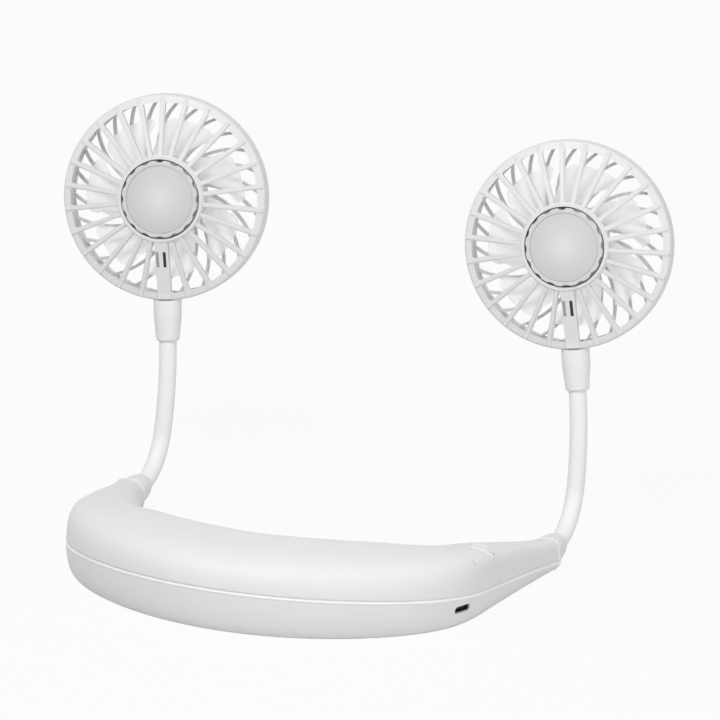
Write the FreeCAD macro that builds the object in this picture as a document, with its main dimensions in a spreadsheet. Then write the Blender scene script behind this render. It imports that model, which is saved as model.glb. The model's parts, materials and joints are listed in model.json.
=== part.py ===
import FreeCAD
import Part
import math
import os
from FreeCAD import Placement, Rotation, Vector

# Electric neck fan: a U-shaped battery housing worn round the neck, with a bendable neck and a caged
# fan at the end of each arm. Millimetres, +Z up, +Y towards the open end of the U.
# The origin is on the flat underside, in the middle of the closed end.

doc = FreeCAD.newDocument("NeckFan")
sheet = doc.addObject("Spreadsheet::Sheet", "Sizes")

driving_sizes = {
    # Plan of the housing's outer edge, half of it: front arc, corner arc, straight arm
    "front_radius": 105.7,
    "front_turn": 43.2,
    "corner_radius": 60.0,
    "corner_turn": 42.0,
    "arm_length": 72.5,
    "front_reach": 24.0,
    "tip_flare": 2.5,
    "tip_turn": 4.5,
    # Parting plane of the two shells and the heights over it
    "seam_tip_height": 4.83,
    "seam_tilt": 5.5,
    "seam_gap": 0.12,
    "groove_depth": 0.5,
    "groove_height": 0.8,
    "crown_front": 15.2,
    "crown_corner": 17.5,
    "crown_tip": 9.2,
    # Width of the housing's section and the rounding of its foot
    "width_front": 49.0,
    "width_tip": 13.0,
    "foot_inset_front": 5.0,
    "foot_inset_tip": 4.0,
    "tip_foot_lift": 0.9,
    "foot_trim": 0.3,
    # Fullness of the section's curves: how long the width and the crown hold along the edge, where the
    # crest lies across the width, and how far each curve runs straight before it bends
    "width_hold": 1.6,
    "crown_hold": 2.9,
    "crest_share_front": 0.66,
    "crest_share_arm": 0.58,
    "crest_share_tip": 0.5,
    "shoulder_front": 0.83,
    "shoulder_arm": 1.0,
    "crest_run_front": 0.66,
    "crest_run_arm": 0.9,
    "belly_run": 0.58,
    "foot_run": 0.6,
    "inner_run": 0.55,
    "inner_foot_share": 0.62,
    "wall": 2.0,
    "arm_end_wall": 5.0,
    # Collars and bendable necks
    "collar_length": 12.5,
    "collar_ring_diameter": 12.9,
    "collar_mouth_diameter": 9.6,
    "collar_edge": 0.5,
    "collar_bow_in": 0.28,
    "collar_bow_up": 0.55,
    "collar_drop": 1.9,
    "neck_diameter": 7.5,
    "core_diameter": 4.6,
    "core_bore": 2.6,
    "neck_insertion": 7.0,
    "slip_clearance": 0.1,
    # Places and aim of the two heads
    "left_head_x": -99.2,
    "right_head_x": 81.8,
    "head_y": 163.1,
    "left_head_z": 125.3,
    "right_head_z": 127.5,
    "head_yaw": 7.9,
    "head_pitch": 9.8,
    "left_head_roll": 4.5,
    "right_head_roll": 7.4,
    # Rim and front grille
    "rim_radius": 44.0,
    "rim_width": 2.8,
    "front_rim_depth": 3.8,
    "rim_rounding": 1.6,
    "hub_ring_radius": 18.5,
    "hub_ring_wall": 1.5,
    "hub_front": 10.2,
    "hub_lip": 0.9,
    "hub_edge": 0.4,
    "rim_bevel": 0.8,
    "rear_rim_bevel": 1.2,
    "window_inset": 0.3,
    "spoke_depth": 2.2,
    "spoke_count": 26.0,
    "spoke_root_width": 1.9,
    "spoke_rim_width": 2.2,
    "broad_spoke_width": 5.8,
    "ridge_width": 1.2,
    "ridge_height": 0.5,
    "ridge_end": 0.8,
    "window_corner": 0.8,
    "hub_floor": 4.6,
    "hub_floor_thickness": 1.4,
    # Rear grille with its motor cup
    "rear_rim_depth": 7.2,
    "rib_count": 26.0,
    "rib_width": 1.6,
    "rib_depth": 1.8,
    "rib_sweep": 30.0,
    "cup_radius": 15.0,
    "cup_wall": 1.6,
    "cup_depth": 17.5,
    "cup_edge": 1.6,
    "cup_step": 3.0,
    "cup_floor_thickness": 1.5,
    "cup_mouth": 9.0,
    # Motor and impeller
    "motor_clearance": 0.3,
    "motor_length": 9.5,
    "shaft_diameter": 2.0,
    "shaft_clearance": 0.05,
    "shaft_length": 15.0,
    "impeller_hub_radius": 11.5,
    "impeller_hub_depth": 8.4,
    "impeller_radius": 34.0,
    "impeller_clearance": 1.2,
    "blade_count": 7.0,
    "blade_thickness": 1.2,
    "blade_gap_angle": 14.0,
    "blade_sweep": 42.0,
    "blade_depth": 7.6,
    "blade_corner": 6.0,
    # Twist cap on the hub, and the scent pad behind it
    "cap_gap": 0.5,
    "cap_rise": 1.3,
    "cap_wall": 1.5,
    "cap_rim_width": 2.1,
    "cap_edge": 0.6,
    "scallop_height": 3.2,
    "disc_sink": 0.3,
    "disc_edge": 1.0,
    "disc_dome": 1.2,
    "scallop_count": 16.0,
    "scallop_radius": 3.0,
    "scallop_depth": 0.8,
    "pad_thickness": 2.4,
    # Stem socket under the rim
    "socket_length": 17.6,
    "socket_top_diameter": 12.0,
    "socket_end_diameter": 9.9,
    "socket_end_rounding": 1.1,
    "socket_waist": 7.0,
    "socket_waist_rounding": 6.0,
    "socket_overlap": 2.0,
    # Power button, indicator and charging socket
    "button_along": 11.5,
    "button_inset": 7.5,
    "button_length": 11.2,
    "button_width": 7.0,
    "button_rise": 1.1,
    "button_rim": 1.4,
    "button_dish": 0.8,
    "button_clearance": 0.45,
    "button_turn": -6.0,
    "button_travel": 0.6,
    "indicator_along": -7.2,
    "indicator_inset": 2.9,
    "indicator_diameter": 1.8,
    "port_turn": 69.0,
    "port_width": 9.2,
    "port_height": 2.9,
    "port_depth": 5.6,
    "port_shell_wall": 0.3,
    "port_tongue_height": 0.7,
    "port_tongue_width": 6.7,
    "port_tongue_recess": 1.2,
    "port_corner": 1.25,
    "port_lower_corner": 1.25,
    "port_sink": 1.1,
    "port_drop": 5.2,
    # Circuit board and switch
    "board_along": 4.2,
    "board_inset": 10.8,
    "board_length": 43.0,
    "board_width": 11.0,
    "board_thickness": 1.2,
    "board_turn": -5.2,
    "switch_side": 6.0,
    "switch_height": 3.5,
    "switch_knob_diameter": 3.2,
    "switch_knob_height": 0.8,
    # Battery cell and cradle
    "cell_diameter": 18.4,
    "cell_length": 65.0,
    "cell_y": 2.0,
    "cell_clearance": 0.2,
    "cradle_floor": 1.5,
    "cradle_height": 7.0,
    "cradle_wall": 2.0,
    # Housing screws in their posts
    "screw_front_turn": 34.0,
    "screw_front_inset": 26.0,
    "screw_arm_along": 40.0,
    "screw_arm_inset": 9.0,
    "screw_diameter": 2.2,
    "screw_head_diameter": 4.4,
    "screw_head_height": 1.6,
    "screw_length": 9.0,
    "screw_recess": 1.2,
    "post_diameter": 6.6,
}

for row, (name, value) in enumerate(driving_sizes.items(), start=1):
    sheet.set("A%d" % row, name)
    sheet.set("B%d" % row, str(value))
    sheet.setAlias("B%d" % row, name)
doc.recompute()

sub_parts = []


def size(name):
    return float(sheet.get(name))


def keep(obj, label, placement=None):
    # Names a finished sub-part and puts it in its place
    obj.Label = label
    if placement is not None:
        obj.Placement = placement
    sub_parts.append(obj)
    return obj


def bind(obj, **expressions):
    for prop, expression in expressions.items():
        obj.setExpression(prop, expression)
    return obj


def solid(name, shape):
    # A form that no sketch or primitive makes, worked out from the sheet's values
    obj = doc.addObject("Part::Feature", name)
    obj.Shape = shape
    return obj


def cylinder(name, radius, height, placement=None):
    obj = bind(doc.addObject("Part::Cylinder", name), Radius=radius, Height=height)
    if placement is not None:
        obj.Placement = placement
    return obj


def box(name, length, width, height, placement=None):
    obj = bind(doc.addObject("Part::Box", name), Length=length, Width=width, Height=height)
    if placement is not None:
        obj.Placement = placement
    return obj


def cut(name, base, tool):
    obj = doc.addObject("Part::Cut", name)
    obj.Base = base
    obj.Tool = tool
    return obj


def join(name, shapes):
    obj = doc.addObject("Part::MultiFuse", name)
    obj.Shapes = shapes
    return obj


def common(name, base, tool):
    obj = doc.addObject("Part::Common", name)
    obj.Base = base
    obj.Tool = tool
    return obj


def outline(corners):
    # Closed outline through corners (x, y, rounding): straight runs joined by tangent arcs
    count = len(corners)
    turns = []
    for index, (x, y, rounding) in enumerate(corners):
        here = Vector(x, y, 0)
        if rounding <= 0:
            turns.append((here, None, here))
            continue
        before = Vector(corners[index - 1][0], corners[index - 1][1], 0)
        after = Vector(corners[(index + 1) % count][0], corners[(index + 1) % count][1], 0)
        back = (before - here).normalize()
        ahead = (after - here).normalize()
        half = back.getAngle(ahead) / 2
        reach = rounding / math.tan(half)
        centre = here + (back + ahead).normalize() * (rounding / math.sin(half))
        middle = centre + (here - centre).normalize() * rounding
        turns.append((here + back * reach, middle, here + ahead * reach))
    geometry = []
    for index, (start, middle, end) in enumerate(turns):
        if middle is not None:
            geometry.append(Part.Arc(start, middle, end))
        following = turns[(index + 1) % count][0]
        if (following - end).Length > 1e-6:
            geometry.append(Part.LineSegment(end, following))
    return geometry


def polar(radius, degrees):
    angle = math.radians(degrees)
    return Vector(radius * math.cos(angle), radius * math.sin(angle), 0)


def new_body(name):
    return doc.addObject("PartDesign::Body", name)


def origin_feature(body, role):
    return next(feature for feature in body.Origin.OriginFeatures if feature.Role == role)


def new_sketch(body, plane, name, geometry, offset=0.0):
    sketch = body.newObject("Sketcher::SketchObject", name)
    sketch.AttachmentSupport = [(origin_feature(body, plane), "")]
    sketch.MapMode = "FlatFace"
    sketch.AttachmentOffset = Placement(Vector(0, 0, offset), Rotation())
    sketch.addGeometry(geometry)
    return sketch


def revolve(body, sketch, name):
    feature = body.newObject("PartDesign::Revolution", name)
    feature.Profile = sketch
    feature.ReferenceAxis = (sketch, ["V_Axis"])
    feature.Angle = 360
    doc.recompute()
    return feature


def pocket_through(body, sketch, name):
    # Cuts the sketch right through the solid, to both sides of its plane
    before = body.Shape.Volume
    feature = body.newObject("PartDesign::Pocket", name)
    feature.Profile = sketch
    feature.SideType = "Symmetric"
    feature.Type = "ThroughAll"
    doc.recompute()
    if not feature.Shape.Volume < before - 1e-6:
        raise RuntimeError(name + " cuts nothing")
    return feature


def pad_across(body, sketch, name, width):
    # Thickens a sketch evenly to both sides of its plane; width is an expression
    feature = body.newObject("PartDesign::Pad", name)
    feature.Profile = sketch
    feature.SideType = "Symmetric"
    feature.Type = "Length"
    bind(feature, Length=width)
    doc.recompute()
    return feature


def ring_pattern(body, feature, name, count, angle):
    # Repeats a feature round the body's Z axis; count and angle are expressions
    pattern = body.newObject("PartDesign::PolarPattern", name)
    pattern.Originals = [feature]
    pattern.Axis = (origin_feature(body, "Z_Axis"), [""])
    bind(pattern, Angle=angle, Occurrences=count)
    body.Tip = pattern
    doc.recompute()
    return pattern


# Housing: sections stood along the outer edge of the plan

def edge_place(turn):
    # Point of the outer edge where its heading has turned by so many degrees, and that heading
    front = size("front_radius")
    first = min(turn, size("front_turn"))
    angle = math.radians(first)
    point = Vector(front * math.sin(angle), front * (1 - math.cos(angle)) - size("front_reach"), 0)
    if turn > first:
        radius = size("corner_radius")
        last = math.radians(turn)
        point += Vector(math.sin(last) - math.sin(angle), math.cos(angle) - math.cos(last), 0) * radius
    return point, math.radians(turn)


def arm_place(share):
    # Point of the arm's outer edge, from its start (0) to its tip (1), flaring outwards at the tip,
    # where the section across the arm is turned inwards
    point, heading = edge_place(size("front_turn") + size("corner_turn"))
    run = Vector(math.cos(heading), math.sin(heading), 0) * (size("arm_length") * share)
    flare = Vector(math.sin(heading), -math.cos(heading), 0) * (size("tip_flare") * share ** 3)
    return point + run + flare, heading + math.radians(size("tip_turn")) * share ** 2


def seam_height(y):
    tip_y = arm_place(1.0)[0].y
    return size("seam_tip_height") + (tip_y - y) * math.tan(math.radians(size("seam_tilt")))


def curve(start, start_handle, end_handle, end):
    bezier = Part.BezierCurve()
    bezier.setPoles([start, start_handle, end_handle, end])
    return bezier.toShape()


def between(first, last, share):
    return first + (last - first) * share


def fade(share, hold):
    # Falls smoothly from 1 to 0 as share runs from 0 to 1
    return math.cos(math.pi / 2 * share ** hold) ** 2


def housing_section(turn, share, inset):
    # Closed section across the housing: flat foot, bellied outer wall, crowned top, round inner wall.
    # turn is the edge's heading in degrees, share the way along the arm from 0 to 1.
    full_turn = size("front_turn") + size("corner_turn")
    point, heading = arm_place(share) if turn >= full_turn else edge_place(turn)
    outward = Vector(math.sin(heading), -math.cos(heading), 0)
    turned = turn / full_turn
    front_length = size("front_radius") * math.radians(size("front_turn"))
    corner_length = size("corner_radius") * math.radians(size("corner_turn"))
    full_length = front_length + corner_length + size("arm_length")
    gone = size("front_radius") * math.radians(min(turn, size("front_turn")))
    gone += size("corner_radius") * math.radians(max(turn - size("front_turn"), 0))
    gone += size("arm_length") * share
    width_left = fade(gone / full_length, size("width_hold"))
    crown_left = fade(gone / full_length, size("crown_hold"))
    width = between(size("width_tip"), size("width_front"), width_left)
    crown_body = between(size("crown_front"), size("crown_corner"), turned)
    crown = between(size("crown_tip"), crown_body, crown_left)
    foot_inset = between(size("foot_inset_tip"), size("foot_inset_front"), width_left)
    shoulder = between(size("shoulder_front"), size("shoulder_arm"), turned)
    crest_run = between(size("crest_run_front"), size("crest_run_arm"), turned)
    crest_share = between(size("crest_share_front"), size("crest_share_arm"), turned)
    crest_share = between(crest_share, size("crest_share_tip"), share)
    seam = seam_height(point.y)
    foot = (inset if inset > 0 else -size("foot_trim")) + size("tip_foot_lift") * share ** 4
    top = seam + crown - inset
    crest = crest_share * width
    inner_height = (top + foot) / 2
    outer = inset
    inner = width - inset
    foot_outer = foot_inset + size("foot_run") * inset
    foot_inner = width - size("inner_foot_share") * foot_inset - size("foot_run") * inset
    inner_run = size("inner_run")

    def at(across, height):
        return point - outward * across + Vector(0, 0, height)

    return Part.Wire([
        curve(at(outer, seam), at(outer, between(seam, top, shoulder)),
              at(between(crest, outer, crest_run), top), at(crest, top)),
        curve(at(crest, top), at(between(crest, inner, inner_run), top),
              at(inner, between(inner_height, top, inner_run)), at(inner, inner_height)),
        curve(at(inner, inner_height), at(inner, between(inner_height, foot, inner_run)),
              at(between(foot_inner, inner, inner_run), foot), at(foot_inner, foot)),
        Part.LineSegment(at(foot_inner, foot), at(foot_outer, foot)).toShape(),
        curve(at(foot_outer, foot), at(between(foot_outer, outer, size("foot_run")), foot),
              at(outer, between(seam, foot, size("belly_run"))), at(outer, seam)),
    ])


def mirrored(wire):
    matrix = FreeCAD.Matrix()
    matrix.A11 = -1
    return wire.transformGeometry(matrix)


def housing_loft(inset, last_share):
    # One smooth run through evenly spaced sections: along an arm, round a corner, across the front and back
    front_steps = 6
    corner_steps = 3
    arm_steps = 6
    front_turn = size("front_turn")
    corner_turn = size("corner_turn")
    half = [
        housing_section(front_turn * step / front_steps, 0.0, inset)
        for step in range(front_steps)
    ]
    half += [
        housing_section(front_turn + corner_turn * step / corner_steps, 0.0, inset)
        for step in range(corner_steps)
    ]
    half += [
        housing_section(front_turn + corner_turn, last_share * step / arm_steps, inset)
        for step in range(arm_steps + 1)
    ]
    return Part.makeLoft([mirrored(wire) for wire in half[:0:-1]] + half, True, False)


tip_point, tip_heading = arm_place(1.0)
closed_end_share = 1 - size("arm_end_wall") / size("arm_length")
# The outer form reaches a little under the ground plane, which trims it to one flat foot
block_side = 4 * (size("front_radius") + size("corner_radius"))
over_ground = doc.addObject("Part::Box", "over_ground")
over_ground.Length = block_side
over_ground.Width = block_side
over_ground.Height = block_side
over_ground.Placement = Placement(Vector(-block_side / 2, -block_side / 2, 0), Rotation())
housing_form = common("housing_form", solid("housing_blank", housing_loft(0.0, 1.0)), over_ground)
doc.recompute()
cavity_form = solid("cavity_form", housing_loft(size("wall"), closed_end_share))
housing_wall = cut("housing_wall", housing_form, cavity_form)

# Half spaces over and under the parting plane, half the seam's gap apart from it
seam_turn = Rotation(Vector(1, 0, 0), -size("seam_tilt"))
seam_point = Vector(0, tip_point.y, size("seam_tip_height"))


def seam_slab(name, start, thickness):
    # Wide slab along the parting plane, from start over the plane upwards
    obj = doc.addObject("Part::Box", name)
    obj.Length = block_side
    obj.Width = block_side
    obj.Height = thickness
    obj.Placement = Placement(seam_point, seam_turn) * Placement(
        Vector(-block_side / 2, -block_side / 2, start), Rotation())
    return obj


def half_space(name, above):
    reach = block_side / 4
    start = size("seam_gap") / 2 if above else -size("seam_gap") / 2 - reach
    return seam_slab(name, start, reach)


def upright(x, y, z):
    return Placement(Vector(x, y, z), Rotation())


def stadium_prism(name, length, width, height, placement):
    # Upright bar with round ends, its long side along X
    corners = [
        (-length / 2, -width / 2, width / 2 - 1e-4),
        (length / 2, -width / 2, width / 2 - 1e-4),
        (length / 2, width / 2, width / 2 - 1e-4),
        (-length / 2, width / 2, width / 2 - 1e-4),
    ]
    wire = Part.Wire([edge.toShape() for edge in outline(corners)])
    obj = solid(name, Part.Face(wire).extrude(Vector(0, 0, height)))
    obj.Placement = placement
    return obj


def edge_spot(turn, inset):
    # Point of the plan at a distance inside the outer edge, where its heading has turned by turn
    point, heading = edge_place(turn)
    return point - Vector(math.sin(heading), -math.cos(heading), 0) * inset


def arm_spot(along, inset):
    # Point of the plan at a distance inside the arm's straight edge, counted along it from the arm's start
    start, heading = edge_place(size("front_turn") + size("corner_turn"))
    way = Vector(math.cos(heading), math.sin(heading), 0)
    outward = Vector(math.sin(heading), -math.cos(heading), 0)
    return start + way * along - outward * inset


# Screw posts: one on each shell, meeting at the parting plane, with the screw through the lower one
front_post = edge_spot(size("screw_front_turn"), size("screw_front_inset"))
arm_post = arm_spot(size("screw_arm_along"), size("screw_arm_inset"))
post_places = [(side * post.x, post.y) for post in (front_post, arm_post) for side in (-1, 1)]
post_columns = []
post_bores = []
post_recesses = []
screw_shapes = []
for index, (x, y) in enumerate(post_places):
    column_height = "%f" % (2 * size("width_front"))
    post_column = cylinder("post_column_%d" % index, "Sizes.post_diameter / 2", column_height, upright(x, y, 0))
    post_columns.append(post_column)
    post_bores.append(cylinder("post_bore_%d" % index, "Sizes.screw_diameter / 2 + Sizes.slip_clearance",
                               "Sizes.screw_recess + Sizes.screw_head_height + Sizes.screw_length",
                               upright(x, y, 0)))
    post_recesses.append(cylinder("post_recess_%d" % index,
                                  "Sizes.screw_head_diameter / 2 + 2 * Sizes.slip_clearance",
                                  "Sizes.screw_recess + Sizes.screw_head_height", upright(x, y, 0)))
    head = Part.makeCylinder(size("screw_head_diameter") / 2, size("screw_head_height"))
    shank = Part.makeCylinder(size("screw_diameter") / 2, size("screw_length"),
                              Vector(0, 0, size("screw_head_height")))
    screw = head.fuse(shank).removeSplitter()
    screw.translate(Vector(x, y, size("screw_recess")))
    screw_shapes.append(screw)
case_screws = keep(solid("case_screws", Part.makeCompound(screw_shapes)), "case_screws")
post_forms = common("post_forms", join("post_column_group", post_columns), housing_form)
wall_with_posts = join("wall_with_posts", [housing_wall, post_forms])
post_holes = join("post_holes", post_bores + post_recesses)
housing_bored = cut("housing_bored", wall_with_posts, post_holes)

# Button hole, indicator hole and charging socket hole


button_spot = arm_spot(size("button_along"), size("button_inset"))
indicator_spot = arm_spot(size("indicator_along"), size("indicator_inset"))
board_spot = arm_spot(size("board_along"), size("board_inset"))


def over_button(height):
    # Placement over the button's middle, turned as the button lies across the arm
    across = Rotation(Vector(0, 0, 1), size("button_turn"))
    return Placement(Vector(button_spot.x, button_spot.y, height), across)


tall = 2 * size("width_front")
hole_lift = 2.0
button_hole = stadium_prism("button_hole", size("button_length") + 2 * size("button_clearance"),
                            size("button_width") + 2 * size("button_clearance"), tall,
                            over_button(seam_height(button_spot.y) + hole_lift))
indicator_hole = cylinder("indicator_hole", "Sizes.indicator_diameter / 2 + Sizes.slip_clearance",
                          "%f" % tall,
                          upright(indicator_spot.x, indicator_spot.y,
                                  seam_height(indicator_spot.y) + hole_lift))
port_point, port_heading = edge_place(size("port_turn"))
port_outward = Vector(math.sin(port_heading), -math.cos(port_heading), 0)
port_height_over_foot = seam_height(port_point.y) - size("port_drop")
port_turned = Rotation(Vector(0, 0, 1), math.degrees(port_heading))
port_mouth = port_point - port_outward * size("port_sink") + Vector(0, 0, port_height_over_foot)


def port_bar(name, grow, start, depth):
    # Rounded slot across the wall: x along the wall, pushed inwards from the mouth
    wide = size("port_width") + 2 * grow
    high = size("port_height") + 2 * grow
    upper = size("port_corner") + grow
    lower = size("port_lower_corner") + grow
    corners = [
        (-wide / 2, -high / 2, lower),
        (wide / 2, -high / 2, lower),
        (wide / 2, high / 2, upper),
        (-wide / 2, high / 2, upper),
    ]
    face = Part.Face(Part.Wire([edge.toShape() for edge in outline(corners)]))
    shape = face.extrude(Vector(0, 0, depth))
    shape.translate(Vector(0, 0, start))
    shape.Placement = Placement(port_mouth, port_turned * Rotation(Vector(1, 0, 0), -90)) * shape.Placement
    return solid(name, shape)


overcut = 4.0
port_hole = port_bar("port_hole", size("slip_clearance"), -overcut, size("port_depth") + overcut)
# Shadow groove round the top shell's foot: all of the band that lies outside a slightly smaller form
groove_core = solid("groove_core", housing_loft(size("groove_depth"), 1.0))
groove = cut("groove", seam_slab("groove_band", size("seam_gap") / 2, size("groove_height")), groove_core)
top_openings = join("top_openings", [button_hole, indicator_hole, groove])
top_solid = common("top_solid", housing_bored, half_space("over_seam", True))
bottom_solid = common("bottom_solid", housing_bored, half_space("under_seam", False))
top_shell = keep(cut("top_shell", top_solid, top_openings), "top_shell")
bottom_shell = keep(cut("bottom_shell", bottom_solid, port_hole), "bottom_shell")
doc.recompute()

# Circuit board, switch, button, indicator window and charging socket
port_top = port_height_over_foot + size("port_height") / 2
board_bottom = port_top + size("slip_clearance") / 2
board_top = board_bottom + size("board_thickness")
board_turned = Rotation(Vector(0, 0, 1), math.degrees(arm_place(0.0)[1]) + size("board_turn"))
board_corner = Vector(board_spot.x, board_spot.y, board_bottom) - board_turned.multVec(
    Vector(size("board_length") / 2, size("board_width") / 2, 0))
circuit_board = keep(box("circuit_board", "Sizes.board_length", "Sizes.board_width", "Sizes.board_thickness"),
                     "circuit_board", Placement(board_corner, board_turned))

switch_corner = Vector(button_spot.x, button_spot.y, board_top) - board_turned.multVec(
    Vector(size("switch_side") / 2, size("switch_side") / 2, 0))
switch_block = box("switch_block", "Sizes.switch_side", "Sizes.switch_side", "Sizes.switch_height",
                   Placement(switch_corner, board_turned))
switch_knob = cylinder("switch_knob", "Sizes.switch_knob_diameter / 2",
                       "Sizes.switch_height + Sizes.switch_knob_height",
                       upright(button_spot.x, button_spot.y, board_top))
tact_switch = keep(join("tact_switch", [switch_block, switch_knob]), "tact_switch")
switch_top = board_top + size("switch_height") + size("switch_knob_height")

button_bar = stadium_prism("button_bar", size("button_length"), size("button_width"), tall,
                           over_button(switch_top + size("button_travel") + size("button_clearance")))
raised_form = solid("raised_form", housing_form.Shape.translated(Vector(0, 0, size("button_rise"))))
button_blank = common("button_blank", button_bar, raised_form)
dish_bar = stadium_prism("dish_bar", size("button_length") - 2 * size("button_rim"),
                         size("button_width") - 2 * size("button_rim"), tall, over_button(0))
dish_floor = solid("dish_floor", housing_form.Shape.translated(
    Vector(0, 0, size("button_rise") - size("button_dish"))))
button_dish = cut("button_dish_tool", dish_bar, dish_floor)
power_button = keep(cut("power_button", button_blank, button_dish), "power_button")

window_bar = cylinder("window_bar", "Sizes.indicator_diameter / 2", "%f" % tall,
                      upright(indicator_spot.x, indicator_spot.y,
                              seam_height(indicator_spot.y) + hole_lift + size("slip_clearance")))
indicator_lens = keep(common("indicator_lens", window_bar, housing_form), "indicator_lens")

port_blank = port_bar("port_blank", 0.0, 0.0, size("port_depth"))
port_inside = port_bar("port_inside", -size("port_shell_wall"), -overcut,
                       size("port_depth") + overcut - size("port_shell_wall"))
charging_port_shell = keep(cut("charging_port_shell", port_blank, port_inside), "charging_port_shell")
tongue_wide = size("port_tongue_width")
tongue_deep = size("port_depth") - size("port_shell_wall") - size("port_tongue_recess")
tongue_place = Placement(port_mouth, port_turned) * Placement(
    Vector(-tongue_wide / 2, size("port_tongue_recess"), -size("port_tongue_height") / 2), Rotation())
tongue = doc.addObject("Part::Box", "charging_port_tongue")
tongue.Length = tongue_wide
tongue.Width = tongue_deep
bind(tongue, Height="Sizes.port_tongue_height")
keep(tongue, "charging_port_tongue", tongue_place)

# Battery cell lying across the front, in a cradle on the bottom shell's floor
floor_height = size("wall")
cell_middle = floor_height + size("cradle_floor") + size("cell_clearance") + size("cell_diameter") / 2
across = Rotation(Vector(0, 1, 0), 90)
battery_cell = keep(cylinder("battery_cell", "Sizes.cell_diameter / 2", "Sizes.cell_length"), "battery_cell",
                    Placement(Vector(-size("cell_length") / 2, size("cell_y"), cell_middle), across))
cradle_length = size("cell_length") + 2 * size("cell_clearance") + 2 * size("cradle_wall")
cradle_width = size("cell_diameter") + 2 * size("cell_clearance")
cradle_block = box("cradle_block", "Sizes.cell_length + 2 * Sizes.cell_clearance + 2 * Sizes.cradle_wall",
                   "Sizes.cell_diameter + 2 * Sizes.cell_clearance", "Sizes.cradle_height",
                   upright(-cradle_length / 2, size("cell_y") - cradle_width / 2, floor_height))
cradle_bed = cylinder("cradle_bed", "Sizes.cell_diameter / 2 + Sizes.cell_clearance",
                      "Sizes.cell_length + 2 * Sizes.cell_clearance",
                      Placement(Vector(-size("cell_length") / 2 - size("cell_clearance"), size("cell_y"),
                                       cell_middle), across))
battery_cradle = keep(cut("battery_cradle", cradle_block, cradle_bed), "battery_cradle")
doc.recompute()


# Necks: two arcs that meet with one tangent, from the collar's mouth to the stem socket

def two_arcs(start, start_way, end, end_way):
    # Joint of two tangent arcs between two points with given ways
    span = end - start
    ways = start_way + end_way
    both = 2 * (1 - start_way.dot(end_way))
    along = span.dot(ways)
    reach = (-along + math.sqrt(along * along + both * span.dot(span))) / both
    first = start + start_way * reach
    last = end - end_way * reach
    return (first + last) * 0.5


def arc_middle(start, way, end):
    # Middle point of the arc that leaves start along way and reaches end
    chord = end - start
    side = chord - way * chord.dot(way)
    if side.Length < 1e-6:
        return start + chord * 0.5
    angle = way.getAngle(chord)
    rise = chord.Length / 2 * math.tan(angle / 2)
    chord_way = Vector(chord).normalize()
    bulge = (way - chord_way * way.dot(chord_way)).normalize()
    return start + chord * 0.5 + bulge * rise


def tube(edges, start, way, outer, bore):
    # Round tube along a chain of edges
    path = Part.Wire(edges)

    def rod(diameter):
        ring = Part.Wire([Part.Circle(start, way, diameter / 2).toShape()])
        return path.makePipeShell([ring], True, False)

    return rod(outer).cut(rod(bore))


def head_frame(side):
    # Head's own frame: x to its right, y up from the stem, z forward along the fan's axis
    spot = Vector(size(side + "_head_x"), size("head_y"), size(side + "_head_z"))
    turn = Rotation(Vector(0, 0, 1), size("head_yaw"))
    turn = turn * Rotation(Vector(1, 0, 0), 90 - size("head_pitch"))
    turn = turn * Rotation(Vector(0, 0, 1), size(side + "_head_roll"))
    return Placement(spot, turn)


stem_z = (size("front_rim_depth") - size("rear_rim_depth")) / 2
collar_z = size("seam_tip_height") + size("crown_tip") / 2 - size("collar_drop")
tip_outward = Vector(math.sin(tip_heading), -math.cos(tip_heading), 0)
tip_middle = tip_point - tip_outward * (size("width_tip") / 2)


def build_collar(side, sign):
    # Tapered collar that closes the arm's end and holds the neck
    body = new_body(side + "_collar")
    ring = size("collar_ring_diameter") / 2
    mouth = size("collar_mouth_diameter") / 2
    bore = size("neck_diameter") / 2 + size("slip_clearance")
    length = size("collar_length")
    edge = size("collar_edge")
    bow = Vector(between(ring, mouth, size("collar_bow_in")), size("collar_bow_up") * length, 0)
    shoulder = Part.Arc(Vector(ring, edge, 0), bow, Vector(mouth, length, 0))
    round_in = edge * (1 - math.sqrt(0.5))
    round_middle = Vector(ring - round_in, round_in, 0)
    rounding = Part.Arc(Vector(ring - edge, 0, 0), round_middle, Vector(ring, edge, 0))
    bore_depth = length - size("neck_insertion") - size("slip_clearance")
    corners = [(mouth, length), (bore, length), (bore, bore_depth), (0, bore_depth), (0, 0), (ring - edge, 0)]
    lines = [
        Part.LineSegment(Vector(*corners[index], 0), Vector(*corners[index + 1], 0))
        for index in range(len(corners) - 1)
    ]
    revolve(body, new_sketch(body, "XY_Plane", side + "_collar_profile", [rounding, shoulder] + lines),
            side + "_collar_turned")
    turned = Rotation(Vector(0, 1, 0), collar_way(sign))
    return keep(body, side + "_collar", Placement(collar_base(sign), turned))


def collar_way(sign):
    # Heading of the arm, which the collar and the neck's first length follow
    return Vector(sign * math.cos(tip_heading), math.sin(tip_heading), 0)


def collar_base(sign):
    return Vector(sign * tip_middle.x, tip_middle.y, collar_z) + collar_way(sign) * size("seam_gap")


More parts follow.
